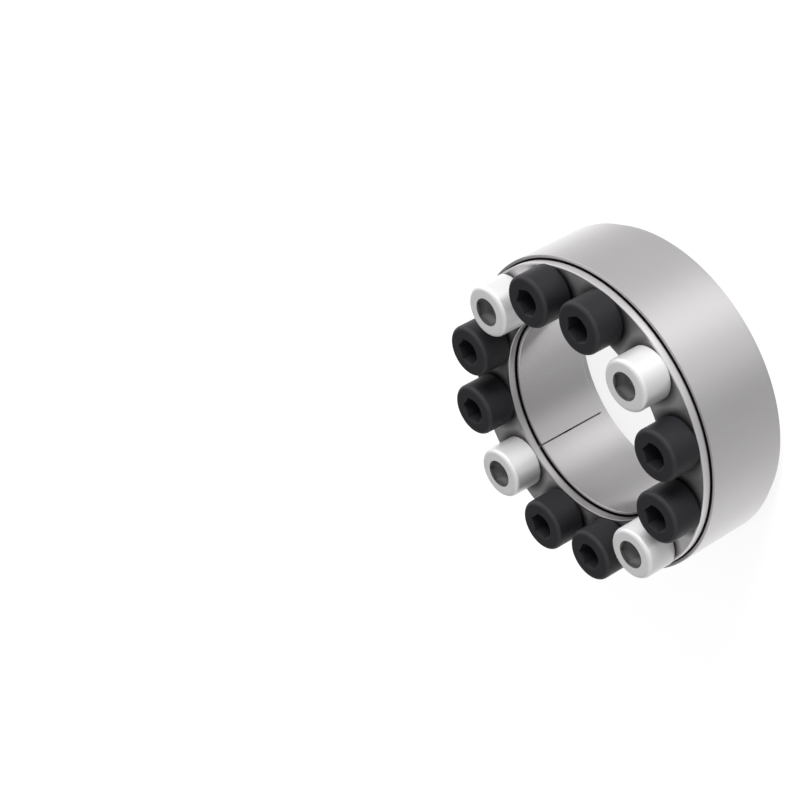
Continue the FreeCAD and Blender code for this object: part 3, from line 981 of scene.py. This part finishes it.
def oiled_oxide(context):
    """Black oxide on forged steel, lightly oiled, and lighter on the heads' rims: partly thin oxide from
    wear, partly a painted highlight on the rounding.
    """
    found = bpy.data.materials.get("oiled_oxide")
    if found:
        return found
    colours = context.scene.locking_colours
    material, nodes, shader = new_material("oiled_oxide")
    nodes.link(*worn_rim_and_highlight(nodes, colours.worn_and_highlight, colours.black), shader, "Base Color")
    shader.inputs["Specular IOR Level"].default_value = 0.25
    forged = object_noise(nodes, scale=1400.0, detail=5.0)
    gloss = uneven_gloss(nodes, forged, "Fac", colours.black_gloss, spread=0.2)
    nodes.link(*gloss, shader, "Roughness")
    add_bump(nodes, shader, forged, "Fac", strength=0.25, distance=0.01 * MM)
    return material


class LOCKING_OT_stage(bpy.types.Operator):
    """Lay the floor, hang the light tent and the lamp, and place the camera"""
    bl_idname = "locking.stage"
    bl_label = "Stage"

    def execute(self, context):
        stage = context.scene.locking_stage
        clear_selection()
        bpy.ops.mesh.primitive_plane_add(size=stage.floor_size, location=(0, 0, -FLOOR_GAP))
        floor = context.object
        floor.name = "floor"
        floor.data.materials.append(pale_floor(stage))
        floor.visible_glossy = False
        light_tent(context)
        bpy.ops.object.light_add(type="SUN", location=stage.lamp_place)
        lamp = context.object
        lamp.name = "soft_lamp"
        lamp.data.angle = stage.lamp_spread
        lamp.data.energy = stage.lamp_power
        lamp.visible_glossy = False
        lamp.rotation_euler = (-Vector(stage.lamp_place)).to_track_quat("-Z", "Y").to_euler()
        bpy.ops.object.camera_add(location=stage.camera_place, rotation=stage.camera_turn)
        camera = context.object
        camera.data.lens = stage.lens
        camera.data.sensor_width = 36
        camera.data.clip_start = 0.01
        camera.data.clip_end = 20
        context.scene.camera = camera
        context.scene.view_settings.view_transform = "Standard"
        return {"FINISHED"}


def path_factor(nodes, *rays):
    """1 for the kinds of ray that are named, and 0 for the rest."""
    path = nodes.add("ShaderNodeLightPath")
    factor, output = path, rays[0]
    for ray in rays[1:]:
        larger = nodes.add("ShaderNodeMath", operation="MAXIMUM")
        nodes.link(factor, output, larger, 0)
        nodes.link(path, ray, larger, 1)
        factor, output = larger, 0
    return factor, output


def mix_values(nodes, factor, low, high):
    """A value that goes from low to high with a factor, each a number or a node and its output."""
    mix = nodes.add("ShaderNodeMix", data_type="FLOAT")
    for name, value in (("Factor", factor), ("A", low), ("B", high)):
        if isinstance(value, tuple):
            nodes.link(*value, mix, name)
        else:
            mix.inputs[name].default_value = value
    return mix, "Result"


def tent_ramp(nodes, source, output, stops):
    """Grey ramp round the tent; each stop is an azimuth in degrees and its brightness, up to 2."""
    ramp = nodes.add("ShaderNodeValToRGB")
    ramp.color_ramp.interpolation = "EASE"
    elements = ramp.color_ramp.elements
    while len(elements) < len(stops):
        elements.new(0.5)
    for element, (azimuth, level) in zip(elements, stops):
        element.position = azimuth / 360
        element.color = (level / 2, level / 2, level / 2, 1)
    nodes.link(source, output, ramp, "Fac")
    double = nodes.add("ShaderNodeMath", operation="MULTIPLY")
    double.inputs[1].default_value = 2
    nodes.link(ramp, "Color", double, 0)
    return double, 0


def height_step(nodes, split, low, high):
    """0 below one height of the tent and 1 above another, with a soft step between."""
    step = nodes.add("ShaderNodeMapRange", interpolation_type="SMOOTHSTEP")
    step.inputs["From Min"].default_value = low
    step.inputs["From Max"].default_value = high
    nodes.link(split, "Z", step, "Value")
    return step, "Result"


def light_tent(context):
    """White background; metal mirrors a tent of pale and grey panels, and matt surfaces get even light."""
    world = context.scene.world or bpy.data.worlds.new("light_tent")
    context.scene.world = world
    world.use_nodes = True
    nodes = Nodes(world.node_tree)
    background = world.node_tree.nodes["Background"]
    place = nodes.add("ShaderNodeTexCoord")
    split = nodes.add("ShaderNodeSeparateXYZ")
    nodes.link(place, "Generated", split, "Vector")
    turn = nodes.add("ShaderNodeMath", operation="ARCTAN2")
    nodes.link(split, "Y", turn, 0)
    nodes.link(split, "X", turn, 1)
    round_angle = nodes.add("ShaderNodeMath", operation="DIVIDE")
    round_angle.inputs[1].default_value = math.tau
    nodes.link(turn, 0, round_angle, 0)
    wrapped = nodes.add("ShaderNodeMath", operation="WRAP")
    wrapped.inputs[1].default_value = 1
    wrapped.inputs[2].default_value = 0
    nodes.link(round_angle, 0, wrapped, 0)
    low = tent_ramp(nodes, wrapped, 0, LOW_PANELS)
    middle = tent_ramp(nodes, wrapped, 0, MIDDLE_PANELS)
    lower = mix_values(nodes, height_step(nodes, split, low=-0.3, high=0.2), low, middle)
    panels = mix_values(nodes, height_step(nodes, split, low=0.6, high=0.9), lower, TOP_PANEL)
    stage = context.scene.locking_stage
    mirrored = mix_values(nodes, path_factor(nodes, "Is Glossy Ray"), stage.ambient, panels)
    seen = mix_values(nodes, path_factor(nodes, "Is Camera Ray", "Is Transmission Ray"), mirrored, 1.0)
    background.inputs["Color"].default_value = (1, 1, 1, 1)
    nodes.link(*seen, background, "Strength")


def pale_floor(stage):
    """Pale floor, white to the camera beside the object's shadow, and clear from underneath."""
    material, nodes, shader = new_material("pale_floor")
    shader.inputs["Base Color"].default_value = (stage.floor_tone, stage.floor_tone, stage.floor_tone, 1)
    shader.inputs["Roughness"].default_value = 1.0
    shader.inputs["Specular IOR Level"].default_value = 0.0
    shader.inputs["Emission Color"].default_value = (1, 1, 1, 1)
    seen = path_factor(nodes, "Is Camera Ray", "Is Transmission Ray")
    nodes.link(*mix_values(nodes, seen, 0.0, stage.floor_glow), shader, "Emission Strength")
    geometry = nodes.add("ShaderNodeNewGeometry")
    clear = mix_values(nodes, (geometry, "Backfacing"), 1.0, 0.0)
    nodes.link(*clear, shader, "Alpha")
    return material


class LOCKING_PT_panel(bpy.types.Panel):
    """Sidebar panel with a button for each step"""
    bl_idname = "LOCKING_PT_panel"
    bl_label = "Locking assembly"
    bl_space_type = "VIEW_3D"
    bl_region_type = "UI"
    bl_category = "Locking"

    def draw(self, context):
        for operator in OPERATORS:
            self.layout.operator(operator.bl_idname)


OPERATORS = [
    LOCKING_OT_stage,
    LOCKING_OT_outer_ring,
    LOCKING_OT_inner_ring,
    LOCKING_OT_front_thrust_ring,
    LOCKING_OT_rear_thrust_ring,
    LOCKING_OT_screws,
]
GROUPS = {
    "locking_rings": RingSizes,
    "locking_screws": ScrewSizes,
    "locking_colours": FinishColours,
    "locking_stage": StageSettings,
}


def register():
    for name, group in GROUPS.items():
        bpy.utils.register_class(group)
        setattr(bpy.types.Scene, name, PointerProperty(type=group))
    for item in [*OPERATORS, LOCKING_PT_panel]:
        bpy.utils.register_class(item)


def unregister():
    for item in [LOCKING_PT_panel, *reversed(OPERATORS)]:
        bpy.utils.unregister_class(item)
    for name, group in GROUPS.items():
        delattr(bpy.types.Scene, name)
        bpy.utils.unregister_class(group)


def main():
    register()
    bpy.ops.locking.stage()
    bpy.ops.locking.outer_ring()
    bpy.ops.locking.inner_ring()
    bpy.ops.locking.front_thrust_ring()
    bpy.ops.locking.rear_thrust_ring()
    bpy.ops.locking.screws()


if __name__ == "__main__":
    main()
